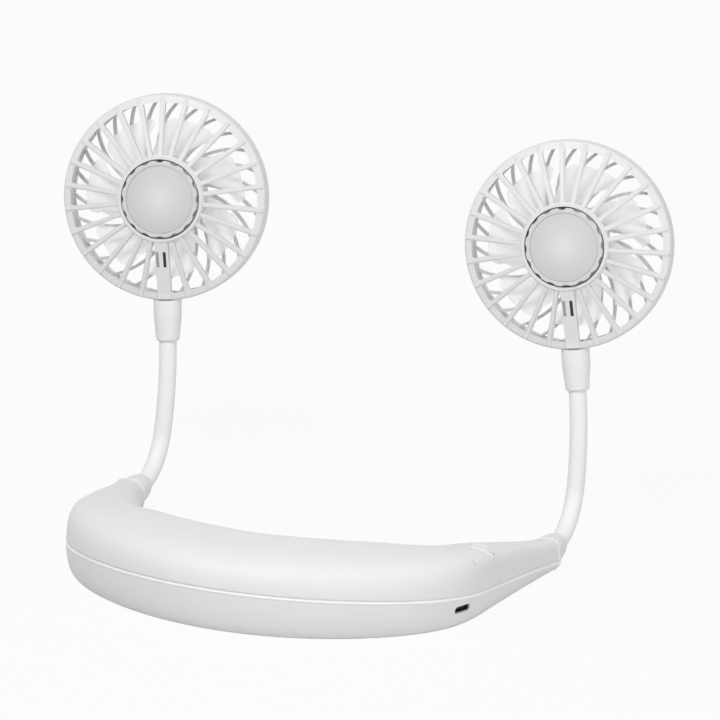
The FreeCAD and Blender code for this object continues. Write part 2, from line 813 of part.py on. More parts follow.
def build_neck(side, sign):
    # Rubber sleeve and metal core, each in a lower and an upper length
    frame = head_frame(side)
    up = frame.Rotation.multVec(Vector(0, 1, 0))
    leave = collar_way(sign)
    mouth = collar_base(sign) + leave * size("collar_length")
    socket_end = frame.multVec(Vector(0, -size("rim_radius") - size("socket_length"), stem_z))
    meet = two_arcs(mouth, leave, socket_end, up)
    lower_middle = arc_middle(mouth, leave, meet)
    upper_middle = arc_middle(socket_end, up * -1, meet)
    inner = mouth - leave * size("neck_insertion")
    top = socket_end + up * size("neck_insertion")
    lower_arc = Part.Arc(mouth, lower_middle, meet)
    upper_arc = Part.Arc(meet, upper_middle, socket_end)
    lower_edges = [Part.LineSegment(inner, mouth).toShape(), lower_arc.toShape()]
    upper_edges = [upper_arc.toShape(), Part.LineSegment(socket_end, top).toShape()]
    meet_way = lower_arc.tangent(lower_arc.LastParameter)[0]
    core = size("core_diameter")
    sleeve_bore = core + 2 * size("slip_clearance")
    lengths = (("lower", lower_edges, inner, leave), ("upper", upper_edges, meet, meet_way))
    for part, edges, start, way in lengths:
        sleeve = tube(edges, start, way, size("neck_diameter"), sleeve_bore)
        keep(solid("%s_sleeve_%s" % (side, part), sleeve), "%s_neck_sleeve_%s" % (side, part))
        rod = tube(edges, start, way, core, size("core_bore"))
        keep(solid("%s_core_%s" % (side, part), rod), "%s_neck_core_%s" % (side, part))
    print("%s neck: mouth %s lower middle %s meet %s upper middle %s socket end %s" % (
        side, *[tuple(round(c, 2) for c in point)
                for point in (mouth, lower_middle, meet, upper_middle, socket_end)]))


# Fan heads, each built in its own frame

def build_socket(side, frame):
    # Stem socket: tapered, round-ended, saddled on the rim
    body = new_body(side + "_stem_socket")
    rim = size("rim_radius") + size("slip_clearance") / 2
    top = -rim + size("socket_overlap")
    end = -size("rim_radius") - size("socket_length")
    bore = size("neck_diameter") / 2 + size("slip_clearance")
    bore_top = end + size("neck_insertion") + size("slip_clearance")
    corners = [
        (0, top, 0),
        (0, bore_top, 0),
        (bore, bore_top, 0),
        (bore, end, 0),
        (size("socket_end_diameter") / 2, end, size("socket_end_rounding")),
        (size("socket_top_diameter") / 2, -rim - size("socket_waist"), size("socket_waist_rounding")),
        (size("socket_top_diameter") / 2, top, 0),
    ]
    revolve(body, new_sketch(body, "XY_Plane", side + "_socket_profile", outline(corners), stem_z),
            side + "_socket_turned")
    rim_circle = Part.Circle(Vector(), Vector(0, 0, 1), rim)
    saddle = new_sketch(body, "XY_Plane", side + "_socket_saddle", [rim_circle])
    pocket_through(body, saddle, side + "_socket_seat")
    return keep(body, side + "_stem_socket", frame)


def spoke_window(radius_in, radius_out, first, first_widths, last, last_widths):
    # Window between two spokes: their angles, and their widths at the hub ring and at the rim
    def edge(radius, angle, width, way):
        return polar(radius, angle + way * math.degrees(math.asin(width / 2 / radius)))

    places = [
        (edge(radius_in, first, first_widths[0], 1), 0.0),
        (edge(radius_out, first, first_widths[1], 1), size("window_corner")),
        (edge(radius_out, last, last_widths[1], -1), size("window_corner")),
        (edge(radius_in, last, last_widths[0], -1), 0.0),
    ]
    return outline([(point.x, point.y, rounding) for point, rounding in places])


def build_front_grille(side, frame):
    # Domed front guard: rim, straight spokes, one broad spoke over the stem, and the hub ring
    body = new_body(side + "_front_grille")
    rim = size("rim_radius")
    rim_in = rim - size("rim_width")
    hub = size("hub_ring_radius")
    hub_in = hub - size("hub_ring_wall")
    front = size("front_rim_depth")
    hub_front = size("hub_front")
    depth = size("spoke_depth")
    floor = size("hub_floor")
    corners = [
        (0, floor, 0),
        (0, floor + size("hub_floor_thickness"), 0),
        (hub_in, floor + size("hub_floor_thickness"), 0),
        (hub_in, hub_front + size("hub_lip"), 0),
        (hub, hub_front + size("hub_lip"), size("hub_edge")),
        (hub, hub_front, 0),
        (rim_in, front, 0),
        (rim, front - size("rim_bevel"), size("rim_rounding")),
        (rim, 0, 0),
        (rim_in, 0, 0),
        (rim_in, front - depth, 0),
        (hub, hub_front - depth, 0),
        (hub, floor, 0),
    ]
    profile = new_sketch(body, "XZ_Plane", side + "_front_profile", outline(corners))
    revolve(body, profile, side + "_front_dome")
    count = int(size("spoke_count"))
    pitch = 360.0 / count
    plain = (size("spoke_root_width"), size("spoke_rim_width"))
    broad = (size("broad_spoke_width"), size("broad_spoke_width"))
    radius_in = hub + size("window_inset")
    radius_out = rim_in - size("window_inset")
    broad_angle = -90.0
    window = spoke_window(radius_in, radius_out, broad_angle + pitch, plain, broad_angle + 2 * pitch, plain)
    first = pocket_through(body, new_sketch(body, "XY_Plane", side + "_window", window), side + "_window_cut")
    ring_pattern(body, first, side + "_windows", "Sizes.spoke_count - 2",
                 "360 / Sizes.spoke_count * (Sizes.spoke_count - 3)")
    narrow = spoke_window(radius_in, radius_out, broad_angle, broad, broad_angle + pitch, plain)
    narrow += spoke_window(radius_in, radius_out, broad_angle - pitch, plain, broad_angle, broad)
    pocket_through(body, new_sketch(body, "XY_Plane", side + "_narrow_windows", narrow), side + "_narrow_cut")
    # A rounded ridge stands on every spoke and runs out over the rim; the broad spoke is level with it
    rise = size("ridge_height")
    end = rim - size("ridge_end")

    def ridge_side(way):
        return outline([
            (way * (hub - size("hub_edge")), hub_front - depth / 2, 0),
            (way * (hub - size("hub_edge")), hub_front + rise, 0),
            (way * rim_in, front + rise, 0),
            (way * end, front + rise / 2, 0),
            (way * end, front - size("rim_bevel"), 0),
            (way * rim_in, front - depth / 2, 0),
        ])

    ridge = pad_across(body, new_sketch(body, "YZ_Plane", side + "_ridge_side", ridge_side(1)),
                       side + "_ridge", "Sizes.ridge_width")
    ring_pattern(body, ridge, side + "_ridges", "Sizes.spoke_count", "360")
    pad_across(body, new_sketch(body, "YZ_Plane", side + "_broad_side", ridge_side(-1)),
               side + "_broad_spoke", "Sizes.broad_spoke_width")
    return keep(body, side + "_front_grille", frame)


def build_rear_grille(side, frame):
    # Rear guard: rim, spiral ribs and the cup that holds the motor
    body = new_body(side + "_rear_grille")
    rim = size("rim_radius")
    rim_in = rim - size("rim_width")
    depth = size("rear_rim_depth")
    cup = size("cup_radius")
    cup_in = cup - size("cup_wall")
    back = size("cup_depth")
    rib = size("rib_depth")
    rib_back = back - size("cup_step")
    corners = [
        (0, -back, 0),
        (cup, -back, size("cup_edge")),
        (cup, -rib_back, 0),
        (rim_in, -depth, 0),
        (rim, -depth + size("rear_rim_bevel"), size("rim_rounding")),
        (rim, -size("seam_gap"), 0),
        (rim_in, -size("seam_gap"), 0),
        (rim_in, -depth + rib, 0),
        (cup, -rib_back + rib, 0),
        (cup, -size("cup_mouth"), 0),
        (cup_in, -size("cup_mouth"), 0),
        (cup_in, -back + size("cup_floor_thickness"), 0),
        (0, -back + size("cup_floor_thickness"), 0),
    ]
    revolve(body, new_sketch(body, "XZ_Plane", side + "_rear_profile", outline(corners)), side + "_rear_dome")
    pitch = 360.0 / size("rib_count")
    radius_in = cup + size("window_inset")
    radius_out = rim_in - size("window_inset")
    radius_mid = (radius_in + radius_out) / 2

    def rib_edge(radius, way):
        swept = size("rib_sweep") * (radius_out - radius) / (radius_out - radius_in)
        start = 0.0 if way > 0 else pitch
        return polar(radius, start + swept + way * math.degrees(size("rib_width") / 2 / radius))

    near = [rib_edge(radius, 1) for radius in (radius_in, radius_mid, radius_out)]
    far = [rib_edge(radius, -1) for radius in (radius_in, radius_mid, radius_out)]
    window = [
        Part.Arc(*near),
        Part.LineSegment(near[2], far[2]),
        Part.Arc(*far[::-1]),
        Part.LineSegment(far[0], near[0]),
    ]
    rib_window = new_sketch(body, "XY_Plane", side + "_rib_window", window)
    first = pocket_through(body, rib_window, side + "_rib_cut")
    ring_pattern(body, first, side + "_rib_windows", "Sizes.rib_count", "360")
    return keep(body, side + "_rear_grille", frame)


def build_motor(side, frame):
    # Motor can in the cup, with the bore that its shaft runs in
    radius = "Sizes.cup_radius - Sizes.cup_wall - Sizes.motor_clearance"
    back = -size("cup_depth") + size("cup_floor_thickness") + size("motor_clearance")
    can = cylinder(side + "_motor_can", radius, "Sizes.motor_length", upright(0, 0, back))
    bore = cylinder(side + "_motor_bore", "Sizes.shaft_diameter / 2 + Sizes.shaft_clearance",
                    "Sizes.motor_length", upright(0, 0, back + 1.5))
    keep(cut(side + "_motor", can, bore), side + "_motor", frame)
    shaft = cylinder(side + "_motor_shaft", "Sizes.shaft_diameter / 2", "Sizes.shaft_length")
    keep(shaft, side + "_motor_shaft", frame * upright(0, 0, back + 2.0))


def blade_outline():
    # Front view of one blade: swept sides, tip on the impeller's circle, rounded tip corners
    root = size("impeller_hub_radius") - 1.0
    tip = size("impeller_radius")
    corner = size("blade_corner")
    half = (360.0 / size("blade_count") - size("blade_gap_angle")) / 2

    def side_point(radius, way):
        swept = -size("blade_sweep") * (radius - root) / (tip - root)
        return polar(radius, swept + way * half)

    def corner_points(way, rounding):
        start = side_point(tip - rounding, way)
        swept = -size("blade_sweep") * (tip - rounding - root) / (tip - root)
        end = polar(tip, swept + way * (half - math.degrees(rounding / tip)))
        middle = polar(tip - 0.27 * rounding, swept + way * (half - 0.27 * math.degrees(rounding / tip)))
        return start, middle, end

    upper = corner_points(1, corner)
    lower = corner_points(-1, 0.5 * corner)
    middle_radius = (root + tip) / 2
    upper_root = side_point(root, 1)
    lower_root = side_point(root, -1)
    crown = (upper[2] + lower[2]).normalize() * tip
    edges = [
        Part.Arc(upper_root, side_point(middle_radius, 1), upper[0]),
        Part.Arc(*upper),
        Part.Arc(upper[2], crown, lower[2]),
        Part.Arc(*lower[::-1]),
        Part.Arc(lower[0], side_point(middle_radius, -1), lower_root),
        Part.LineSegment(lower_root, upper_root),
    ]
    return Part.Wire([edge.toShape() for edge in edges])


def build_impeller(side, frame):
    # Seven twisted blades round a cup-shaped hub on the motor's shaft
    hub_radius = size("impeller_hub_radius")
    front = size("hub_floor") - size("impeller_clearance")
    back = front - size("impeller_hub_depth")
    depth = size("blade_depth")
    thickness = size("blade_thickness")
    blade_middle = back + size("impeller_hub_depth") / 2 - 0.6
    half = (360.0 / size("blade_count")) / 2 + 4
    root = hub_radius - 1.0
    tip = size("impeller_radius")

    def sheet_section(radius):
        swept = -size("blade_sweep") * (radius - root) / (tip - root)
        first = polar(radius, swept + half)
        last = polar(radius, swept - half)
        heights = (blade_middle + depth / 2, blade_middle - depth / 2)
        lift = Vector(0, 0, thickness / 2)
        places = [first + Vector(0, 0, heights[0]), last + Vector(0, 0, heights[1])]
        loop = [places[0] - lift, places[1] - lift, places[1] + lift, places[0] + lift, places[0] - lift]
        return Part.makePolygon(loop)

    stations = (0.8 * root, 0.68 * tip, 1.2 * tip)
    sheet_form = Part.makeLoft([sheet_section(radius) for radius in stations], True, True)
    bar = Part.Face(blade_outline()).extrude(Vector(0, 0, 4 * depth))
    bar.translate(Vector(0, 0, blade_middle - 2 * depth))
    blade = sheet_form.common(bar)
    hub = Part.makeCylinder(hub_radius, front - back, Vector(0, 0, back))
    hub = hub.makeFillet(1.4, [edge for edge in hub.Edges if edge.BoundBox.ZMin > front - 0.01])
    count = int(size("blade_count"))
    blades = []
    for index in range(count):
        turned = blade.copy()
        turned.rotate(Vector(), Vector(0, 0, 1), 360.0 * index / count)
        blades.append(turned)
    wheel = hub.fuse(blades)
    bore_top = -size("cup_depth") + size("cup_floor_thickness") + size("motor_clearance") + 2.0
    bore_top += size("shaft_length") + size("slip_clearance")
    bore = Part.makeCylinder(size("shaft_diameter") / 2 + size("shaft_clearance") / 2, bore_top - back + 1,
                             Vector(0, 0, back - 1))
    wheel = wheel.cut(bore)
    return keep(solid(side + "_impeller", wheel), side + "_impeller", frame)


def build_cap(side, frame):
    # Twist cap in the hub ring: scalloped edge, a grey domed disc let into its front, a scent pad behind
    body = new_body(side + "_hub_cap")
    slip = size("slip_clearance")
    outer = size("hub_ring_radius") - size("hub_ring_wall") - size("cap_gap")
    inner = outer - size("cap_wall")
    seat = size("hub_floor") + size("hub_floor_thickness") + size("cap_gap")
    front = size("hub_front") + size("hub_lip") + size("cap_rise")
    disc_radius = outer - size("cap_rim_width")
    disc_front = front - size("disc_sink")
    disc_back = disc_front - size("disc_edge")
    pad_top = seat + size("pad_thickness") + 2 * slip
    corners = [
        (0, disc_back - slip, 0),
        (0, pad_top, 0),
        (inner, pad_top, 0),
        (inner, seat, 0),
        (outer, seat, 0),
        (outer, front, size("cap_edge")),
        (disc_radius + slip, front, 0),
        (disc_radius + slip, disc_back - slip, 0),
    ]
    revolve(body, new_sketch(body, "XZ_Plane", side + "_cap_profile", outline(corners)), side + "_cap_turned")
    centre = Vector(outer + size("scallop_radius") - size("scallop_depth"), 0, 0)
    bite = Part.Circle(centre, Vector(0, 0, 1), size("scallop_radius"))
    scallop = body.newObject("PartDesign::Pocket", side + "_scallop_cut")
    scallop.Profile = new_sketch(body, "XY_Plane", side + "_scallop", [bite], front)
    bind(scallop, Length="Sizes.scallop_height")
    doc.recompute()
    ring_pattern(body, scallop, side + "_scallops", "Sizes.scallop_count", "360")
    keep(body, side + "_hub_cap", frame)

    disc = new_body(side + "_cap_disc")
    top = disc_front + size("disc_dome")
    half_way = Vector(disc_radius / 2, disc_front + 0.75 * size("disc_dome"), 0)
    dome = Part.Arc(Vector(0, top, 0), half_way, Vector(disc_radius, disc_front, 0))
    places = [(disc_radius, disc_front), (disc_radius, disc_back), (0, disc_back), (0, top)]
    rest = [Vector(across, height, 0) for across, height in places]
    lines = [Part.LineSegment(rest[index], rest[index + 1]) for index in range(len(rest) - 1)]
    revolve(disc, new_sketch(disc, "XZ_Plane", side + "_disc_profile", [dome] + lines), side + "_disc_turned")
    keep(disc, side + "_cap_disc", frame)
    pad = cylinder(side + "_scent_pad", "%f" % (inner - 2 * slip), "Sizes.pad_thickness")
    keep(pad, side + "_scent_pad", frame * upright(0, 0, seat + slip))


for side, sign in (("left", -1), ("right", 1)):
    frame = head_frame(side)
    build_collar(side, sign)
    build_neck(side, sign)
    build_socket(side, frame)
    build_front_grille(side, frame)
    build_rear_grille(side, frame)
    build_motor(side, frame)
    build_impeller(side, frame)
    build_cap(side, frame)

doc.recompute()

for obj in doc.Objects:
    if "Invalid" in obj.State or "Error" in obj.State:
        raise RuntimeError("failed: " + obj.Label)
os.makedirs("parts", exist_ok=True)
for obj in sub_parts:
    if obj.Shape.isNull() or not obj.Shape.isValid():
        raise RuntimeError("bad shape: " + obj.Label)
for obj in sub_parts:
    obj.Shape.exportStep("parts/%s.step" % obj.Label)
    print("%-24s %10.1f mm3  %d solids" % (obj.Label, obj.Shape.Volume, len(obj.Shape.Solids)))
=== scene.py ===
import json
import math
import bpy
import bmesh
import numpy as np
from mathutils import Matrix, Vector


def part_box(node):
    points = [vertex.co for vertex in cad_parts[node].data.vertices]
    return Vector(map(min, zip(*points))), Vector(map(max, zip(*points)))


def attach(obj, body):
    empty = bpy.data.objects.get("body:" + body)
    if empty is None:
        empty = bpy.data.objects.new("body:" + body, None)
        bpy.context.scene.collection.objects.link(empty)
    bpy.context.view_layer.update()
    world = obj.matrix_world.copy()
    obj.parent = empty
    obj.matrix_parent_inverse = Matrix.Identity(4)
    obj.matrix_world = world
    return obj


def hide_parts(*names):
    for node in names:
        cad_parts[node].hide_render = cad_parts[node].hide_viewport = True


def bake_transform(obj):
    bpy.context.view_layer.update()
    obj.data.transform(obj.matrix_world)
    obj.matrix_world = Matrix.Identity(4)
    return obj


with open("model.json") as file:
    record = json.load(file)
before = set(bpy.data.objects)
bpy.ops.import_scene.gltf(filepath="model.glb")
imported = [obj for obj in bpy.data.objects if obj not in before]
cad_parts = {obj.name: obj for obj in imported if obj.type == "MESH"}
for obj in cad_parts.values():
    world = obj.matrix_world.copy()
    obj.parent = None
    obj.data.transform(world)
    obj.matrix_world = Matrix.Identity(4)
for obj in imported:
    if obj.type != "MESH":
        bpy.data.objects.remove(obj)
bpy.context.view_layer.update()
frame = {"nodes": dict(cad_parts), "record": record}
nodes = frame["nodes"]
joints = {joint["name"]: joint for joint in frame["record"]["behaviour"]["joints"]}
sides = ("left", "right")
mm = 0.001
upright = np.array([0.0, 0.0, 1.0])
print("frame loaded:", len(nodes), "nodes")


# Materials

mixFactor, mixA, mixB, mixResult = 0, 6, 7, 2  # a Mix node's colour sockets, by number as their names repeat
firstValue, secondValue = 0, 1  # a Math node's sockets
firstShader, secondShader = 1, 2  # a Mix Shader's sockets
plainWhite = (1, 1, 1, 1)


def linearColour(hexColour):  # sRGB hex to the linear values that the shader takes
    channels = np.array([int(hexColour[i:i + 2], 16) for i in (1, 3, 5)]) / 255
    low = channels / 12.92
    high = ((channels + 0.055) / 1.055) ** 2.4
    return (*np.where(channels <= 0.04045, low, high).tolist(), 1.0)


def addNode(tree, kind, settings=None, values=None, links=None):  # one node with its settings and links
    node = tree.nodes.new(kind)
    for name, value in (settings or {}).items():
        setattr(node, name, value)
    for name, value in (values or {}).items():
        node.inputs[name].default_value = value
    for name, socket in (links or {}).items():
        tree.links.new(socket, node.inputs[name])
    return node


def emptyMaterial(name):
    material = bpy.data.materials.new(name)
    material.use_nodes = True
    material.node_tree.nodes.clear()
    return material


def fanFinish(name, look):  # colour with a faint mottle, fine grain in relief, roughness that drifts
    material = emptyMaterial(name)
    tree = material.node_tree
    place = addNode(tree, "ShaderNodeTexCoord").outputs["Object"]
    cloud = addNode(tree, "ShaderNodeTexNoise",
                    values={"Scale": 1 / (look["mottleMm"] * mm), "Detail": look["mottleDetail"]},
                    links={"Vector": place}).outputs["Fac"]
    grain = addNode(tree, "ShaderNodeTexNoise",
                    values={"Scale": 1 / (look["grainMm"] * mm), "Detail": look["grainDetail"]},
                    links={"Vector": place}).outputs["Fac"]
    colour = addNode(tree, "ShaderNodeMix", {"data_type": "RGBA"},
                     {mixA: linearColour(look["colour"]), mixB: linearColour(look["mottle"])},
                     {mixFactor: cloud})
    gloss = addNode(tree, "ShaderNodeMapRange",
                    values={"To Min": look["roughness"] - look["drift"],
                            "To Max": look["roughness"] + look["drift"]},
                    links={"Value": cloud})
    bump = addNode(tree, "ShaderNodeBump",
                   values={"Strength": look["bump"], "Distance": look["grainDepthMm"] * mm},
                   links={"Height": grain})
    shader = addNode(tree, "ShaderNodeBsdfPrincipled",
                     values={"IOR": look["ior"], "Metallic": look["metallic"],
                             "Transmission Weight": look["transmission"]},
                     links={"Base Color": colour.outputs[mixResult], "Roughness": gloss.outputs["Result"],
                            "Normal": bump.outputs["Normal"]})
    addNode(tree, "ShaderNodeOutputMaterial", links={"Surface": shader.outputs["BSDF"]})
    return material


# What the finishes share. Mould grain is finer than this on the real fan, and is drawn so that it shows.
plainFinish = {"ior": 1.5, "metallic": 0.0, "transmission": 0.0, "drift": 0.05, "mottleDetail": 3.0,
               "grainMm": 0.5, "grainDetail": 2.0, "grainDepthMm": 0.02, "bump": 0.2}
finishes = {
    # moulded ABS of the housing: satin white, with a broad soft sheen and no sharp mirror
    "whiteAbs": {"colour": "#e8e8e9", "mottle": "#e3e3e5", "roughness": 0.58, "mottleMm": 18, "bump": 0.25},
    # moulded ABS of the stem sockets: a little paler than the housing's ABS as a painted highlight, its edges
    # kept dull by the low IOR
    "socketAbs": {"colour": "#ededee", "mottle": "#e9e9ea", "roughness": 0.5, "ior": 1.35, "mottleMm": 10},
    # rounded, smoother ABS edges, paler than the housing's ABS as a painted highlight: a bright thin line
    # along the seam and round the collars and button
    "seamAbsPaintedHighlight": {"colour": "#f6f6f7", "mottle": "#f2f2f3", "roughness": 0.35, "mottleMm": 12,
                "grainDepthMm": 0.01},
    # moulded grey ABS of the cap's scalloped rim: a shade darker than the grille round it
    "capRimAbs": {"colour": "#d4d4d5", "mottle": "#cfcfd0", "roughness": 0.45, "mottleMm": 7, "bump": 0.3},
    # smoother moulded ABS of the grilles: white spokes with a small highlight on each ridge
    "grilleAbs": {"colour": "#e4e4e5", "mottle": "#dfdfe1", "roughness": 0.4, "mottleMm": 9},
    # extruded rubber of the necks: soft white, a broad band of light down the middle
    "neckRubber": {"colour": "#f3f3f4", "mottle": "#efeff0", "roughness": 0.5, "ior": 1.3, "mottleMm": 6,
                   "grainMm": 0.8},
    # frosted polypropylene of the blades: milky and thin, the IOR low so that they hardly bend the view
    "frostedPolypropylene": {"colour": "#ffffff", "mottle": "#fcfcfd", "roughness": 0.7, "ior": 1.19,
                             "transmission": 0.92, "mottleMm": 9, "grainMm": 0.7},
    # drawn steel of motors, screws, cores and the socket's shell: a blurred grey mirror
    "drawnSteel": {"colour": "#b9b9bb", "mottle": "#a9a9ac", "roughness": 0.32, "metallic": 1.0,
                   "mottleMm": 3, "grainMm": 0.3},
    # black moulded ABS: near black, slightly dusty
    "blackAbs": {"colour": "#1c1c1d", "mottle": "#242426", "roughness": 0.5, "mottleMm": 3, "grainMm": 0.4,
                 "bump": 0.3},
    # glass laminate under solder mask: dark green with a slight gloss
    "boardLaminate": {"colour": "#1f5b3a", "mottle": "#2a6b45", "roughness": 0.4, "mottleMm": 3,
                      "grainMm": 0.4, "bump": 0.3},
    # shrunk PVC wrap of the battery cell: smooth plain blue
    "pvcWrap": {"colour": "#3f6fa8", "mottle": "#3a669b", "roughness": 0.3, "mottleMm": 12, "grainMm": 0.6},
    # milky acrylic of the indicator: pale, nearly the housing's white, and glossier
    "milkyAcrylic": {"colour": "#e0e0e2", "mottle": "#dadadc", "roughness": 0.25, "mottleMm": 2,
                     "grainMm": 0.3, "grainDepthMm": 0.01},
    # pressed felt of the scent pads: off-white, matt and fibrous
    "padFelt": {"colour": "#ecebe6", "mottle": "#dfded8", "roughness": 0.9, "mottleMm": 2, "grainMm": 0.35,
                "grainDepthMm": 0.2, "bump": 0.8},
    # grey moulded ABS of the paler spoke mark: a plain mid grey
    "greyAbs": {"colour": "#a2a2a4", "mottle": "#9a9a9c", "roughness": 0.5, "mottleMm": 2, "grainMm": 0.4},
}
materials = {name: fanFinish(name, {**plainFinish, **look}) for name, look in finishes.items()}

# moulded grey ABS of the cap's inlaid disc: matt, with a painted highlight that makes it paler in the middle,
# where the dome faces the light
capDiscWithPaintedHighlight = {**plainFinish, "colour": "#cacacb", "mottle": "#c6c6c7", "roughness": 0.5, "mottleMm": 7,
           "bump": 0.3, "middle": "#e2e2e3", "radius": 21 * mm}


# Painted highlight: the plain finish faded to a paler colour in the middle of the disc.
def paintedHighlightDiscFinish(name, look, centre):  # the plain finish, faded to the middle colour by a ball round the centre
    material = fanFinish(name, look)
    tree = material.node_tree
    baseColour = tree.nodes["Principled BSDF"].inputs["Base Color"]
    place = addNode(tree, "ShaderNodeTexCoord")
    centred = addNode(tree, "ShaderNodeMapping",
                      values={"Scale": (1 / look["radius"],) * 3,
                              "Location": tuple(-value / look["radius"] for value in centre)},
                      links={"Vector": place.outputs["Object"]})
    ball = addNode(tree, "ShaderNodeTexGradient", {"gradient_type": "QUADRATIC_SPHERE"},
                   links={"Vector": centred.outputs["Vector"]})
    paintedHighlightFade = addNode(tree, "ShaderNodeMix", {"data_type": "RGBA"}, {mixB: linearColour(look["middle"])},
                   {mixFactor: ball.outputs["Fac"], mixA: baseColour.links[0].from_socket})
    tree.links.new(paintedHighlightFade.outputs[mixResult], baseColour)
    return material


slotFinish = {
    "white_abs": "whiteAbs", "button_abs": "whiteAbs", "grille_abs": "grilleAbs", "cap_grey": "capRimAbs",
    "neck_rubber": "neckRubber", "impeller_plastic": "frostedPolypropylene", "black_plastic": "blackAbs",
    "core_steel": "drawnSteel", "motor_steel": "drawnSteel", "screw_steel": "drawnSteel",
    "port_steel": "drawnSteel", "board_laminate": "boardLaminate", "lens_clear": "milkyAcrylic",
    "cell_wrap": "pvcWrap", "pad_felt": "padFelt",
}
for part in frame["record"]["subparts"]:
    mesh = nodes[part["node"]].data
    mesh.materials.clear()
    # the cap's disc gets a painted highlight, paler in the middle
    if part["node"].endswith("_cap_disc"):
        low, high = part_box(part["node"])
        middle = [(a + b) / 2 for a, b in zip(low, high)]
        mesh.materials.append(paintedHighlightDiscFinish(part["node"] + "Abs", capDiscWithPaintedHighlight, middle))
    # the stem sockets take a paler copy of the housing's ABS, a painted highlight
    elif part["node"].endswith("_stem_socket"):
        mesh.materials.append(materials["socketAbs"])
    else:
        mesh.materials.append(materials[slotFinish[part["material_slot"]]])
print("materials on the CAD nodes")


# Pieces worked out with numpy

meshing = {"mergeGap": 0.001 * mm, "sharpAngle": 50.0}


def unit(vectors):  # each vector over its own length
    return vectors / np.linalg.norm(vectors, axis=-1, keepdims=True)


# Mesh of a grid of points, rows along and columns round. Equal points are merged, which closes seams and
# poles.
def gridPiece(name, points, material):
    rows, columns = points.shape[:2]
    index = np.arange(rows * columns).reshape(rows, columns)
    following = np.roll(index, -1, axis=1)
    quads = np.stack([index[:-1], following[:-1], following[1:], index[1:]], axis=-1)
    mesh = bpy.data.meshes.new(name)
    mesh.from_pydata(points.reshape(-1, 3).tolist(), [], quads.reshape(-1, 4).tolist())
    work = bmesh.new()
    work.from_mesh(mesh)
    bmesh.ops.remove_doubles(work, verts=work.verts, dist=meshing["mergeGap"])
    bmesh.ops.recalc_face_normals(work, faces=work.faces)
    work.to_mesh(mesh)
    work.free()
    mesh.polygons.foreach_set("use_smooth", np.ones(len(mesh.polygons), bool))
    mesh.set_sharp_from_angle(angle=math.radians(meshing["sharpAngle"]))
    mesh.materials.append(materials[material])
    mesh.update()
    piece = bpy.data.objects.new(name, mesh)
    bpy.context.collection.objects.link(piece)
    return piece


def withEnds(points):  # a row drawn in to its middle at each end closes the run
    first = np.broadcast_to(points[0].mean(axis=0), points[0].shape)
    last = np.broadcast_to(points[-1].mean(axis=0), points[-1].shape)
    return np.concatenate([first[None], points, last[None]])


def ringsAlong(path, aside, over, radius, columns):  # at each path point a circle through aside and over
    turn = np.linspace(0, 2 * np.pi, columns, endpoint=False)[None, :, None]
    return path[:, None] + (aside[:, None] * np.cos(turn) + over[:, None] * np.sin(turn)) * radius


# Circle arc through three points: the centre from the chords' normals, then the first arm turned about it
def arcThrough(start, middle, end, steps):
    a, b = middle - start, end - start
    normal = np.cross(a, b)
    towards = np.cross(normal, a) * b.dot(b) + np.cross(b, normal) * a.dot(a)
    centre = start + towards / (2 * normal.dot(normal))
    first = start - centre
    across = np.cross(unit(normal), first)
    last = end - centre
    angle = math.atan2(last.dot(across), last.dot(first)) % (2 * math.pi)
    turn = np.linspace(0, angle, steps)[:, None]
    return centre + first * np.cos(turn) + across * np.sin(turn)


def tubeAlong(path, radius, columns):  # circles square to a path that never runs along x, kept from twisting
    way = unit(np.gradient(path, axis=0))
    aside = unit(np.cross(way, [1.0, 0.0, 0.0]))
    return ringsAlong(path, aside, np.cross(aside, way), radius, columns)


neck = {  # points in mm on each neck's middle line, from the collar's mouth to the stem socket
    "columns": 40, "steps": 48,
    "left": {"mouth": (-93.20, 128.06, 7.53), "lower": (-92.98, 142.46, 12.97),
             "meet": (-92.28, 149.66, 26.57), "upper": (-92.01, 152.21, 45.58),
             "socket": (-93.21, 155.07, 64.50)},
    "right": {"mouth": (93.20, 128.06, 7.53), "lower": (93.36, 143.01, 13.24),
              "meet": (93.59, 150.34, 27.47), "upper": (93.05, 152.75, 47.33),
              "socket": (90.86, 155.55, 67.02)},
}
neckLayers = {  # inside is how far a layer runs on into the collar or the stem socket
    "sleeve": {"radius": 3.75 * mm, "inside": 5.0 * mm, "material": "neckRubber", "slot": "neck_rubber"},
    "core": {"radius": 2.3 * mm, "inside": 6.5 * mm, "material": "drawnSteel", "slot": "core_steel"},
}
collarWay = {}  # the way each collar points, out of its mouth
for side in sides:
    spot = {name: np.array(point) * mm for name, point in neck[side].items()}
    lower = arcThrough(spot["mouth"], spot["lower"], spot["meet"], neck["steps"])
    upper = arcThrough(spot["meet"], spot["upper"], spot["socket"], neck["steps"])
    collarWay[side] = unit(lower[1] - lower[0])
    onward = unit(upper[-1] - upper[-2])
    lengths = (("lower", lower, "base", side + "_neck"), ("upper", upper, side + "_neck", side + "_head"))
    for name, path, bodyA, bodyB in lengths:
        for layer, look in neckLayers.items():
            if name == "lower":
                run = np.vstack([path[0] - collarWay[side] * look["inside"], path])
            else:
                run = np.vstack([path, path[-1] + onward * look["inside"]])
            points = withEnds(tubeAlong(run, look["radius"], neck["columns"]))
            piece = gridPiece("%sNeck%s%s" % (side, layer.title(), name.title()), points, look["material"])
            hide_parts("%s_neck_%s_%s" % (side, layer, name))
            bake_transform(piece)
print("necks drawn")


# Bevel along the housing's seam, a bead where each collar meets its arm and a lip round the button's hole

seam = {  # mm and degrees: the housing's edge, then the bevel that follows it
    "frontRadius": 105.7, "frontTurn": 43.2, "cornerRadius": 60.0, "cornerTurn": 42.0, "armLength": 72.5,
    "flare": 2.5, "frontReach": 24.0, "tipHeight": 4.83, "tilt": 5.5, "steps": 60,
    "bulge": 0.36, "height": 1.5, "drawIn": 0.2, "root": 0.7, "under": 0.06, "lip": 0.12, "lipDepth": 0.32,
    "roundness": 20,
}


